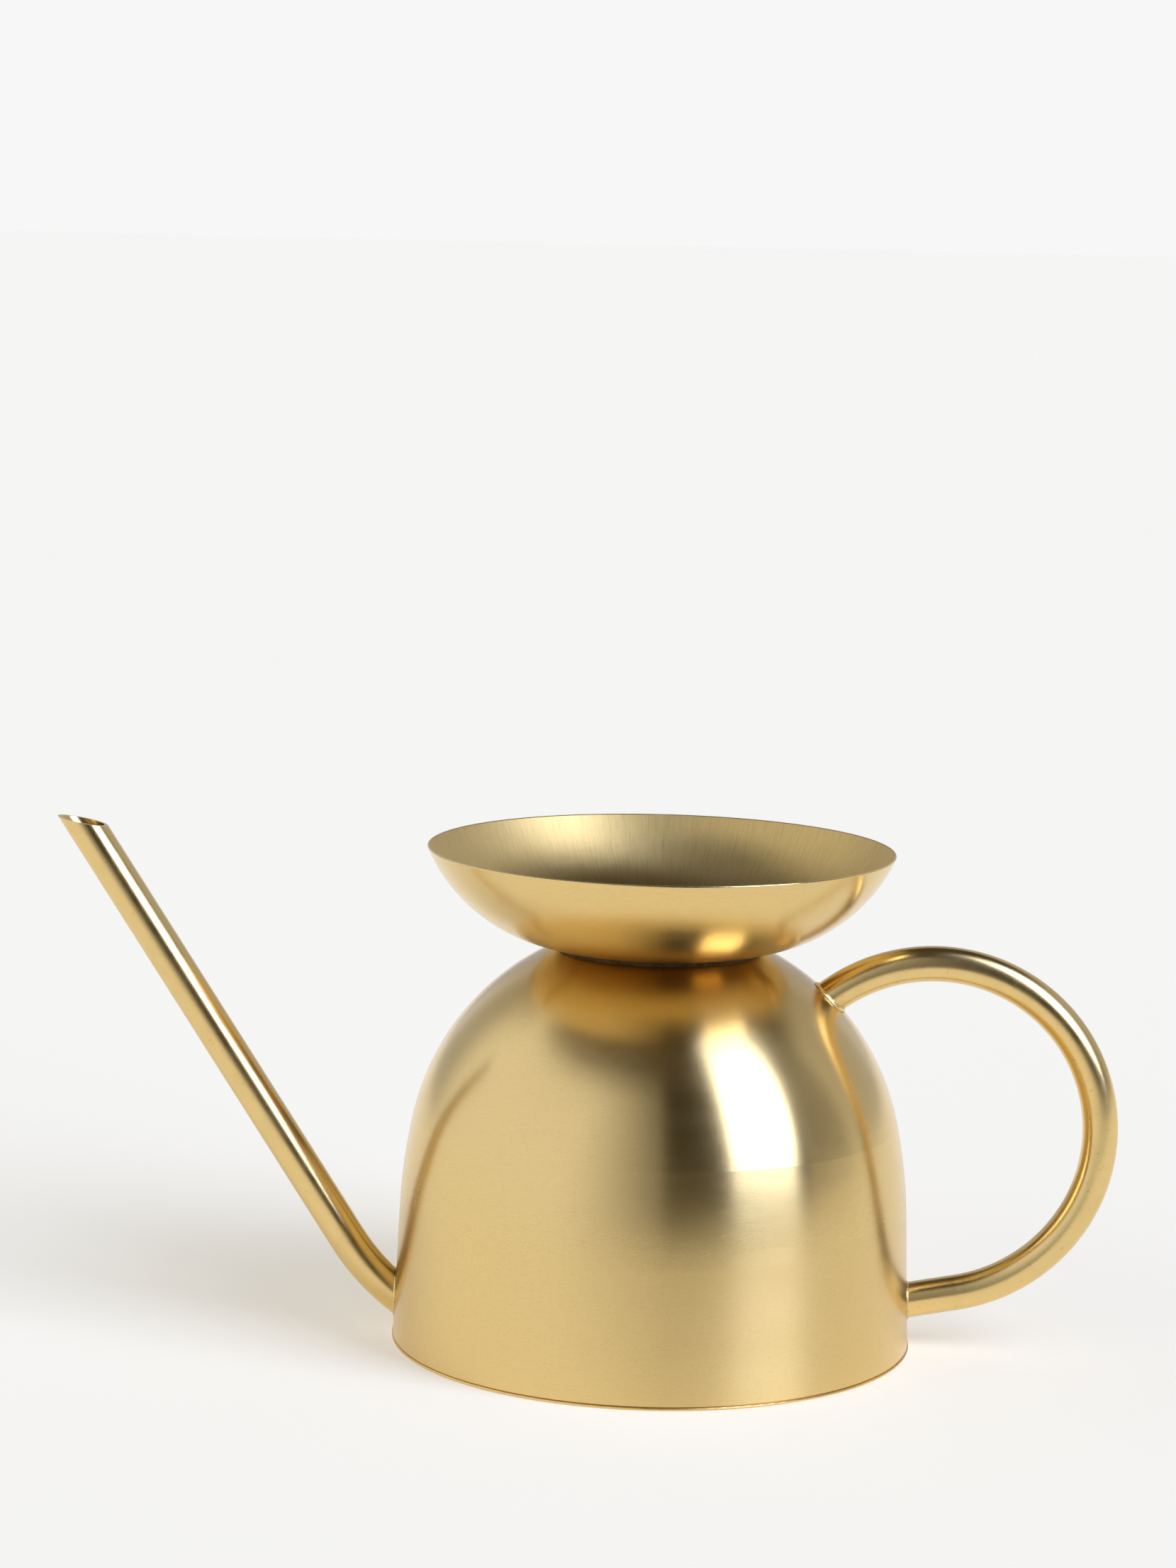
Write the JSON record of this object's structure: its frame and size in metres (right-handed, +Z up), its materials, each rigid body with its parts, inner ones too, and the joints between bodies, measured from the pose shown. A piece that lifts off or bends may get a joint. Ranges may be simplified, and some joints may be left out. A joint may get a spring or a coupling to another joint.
{
  "type": "watering can",
  "caption": "Small brushed-brass indoor watering can with a domed tank, an open funnel bowl on top, a long thin slanting spout and a round tube handle.",
  "frame": {"origin": "on the axis of the round body, on the flat underside of the base disc", "axes": "+Z up along the body's axis, +X towards the handle, -X towards the spout; the plane Y = 0 is the plane of symmetry"},
  "size_m": [0.3067, 0.15, 0.1487],
  "materials": {
    "brushed_brass": "fine horizontal brushed grain, satin",
    "bowl_brass": "brushed round its axis, satin",
    "base_brass": "brushed, satin",
    "tube_brass": "polished along its length, semi-gloss",
    "braze": "hand-filed filler metal, satin"
  },
  "bodies": {
    "root": {"body_shell": "brushed_brass", "base_disc": "base_brass", "funnel_bowl": "bowl_brass", "spout_tube": "tube_brass", "handle_tube": "tube_brass", "neck_braze": "braze", "base_braze": "braze", "spout_braze": "braze", "handle_foot_braze": "braze", "handle_head_braze": "braze"}
  },
  "joints": []
}
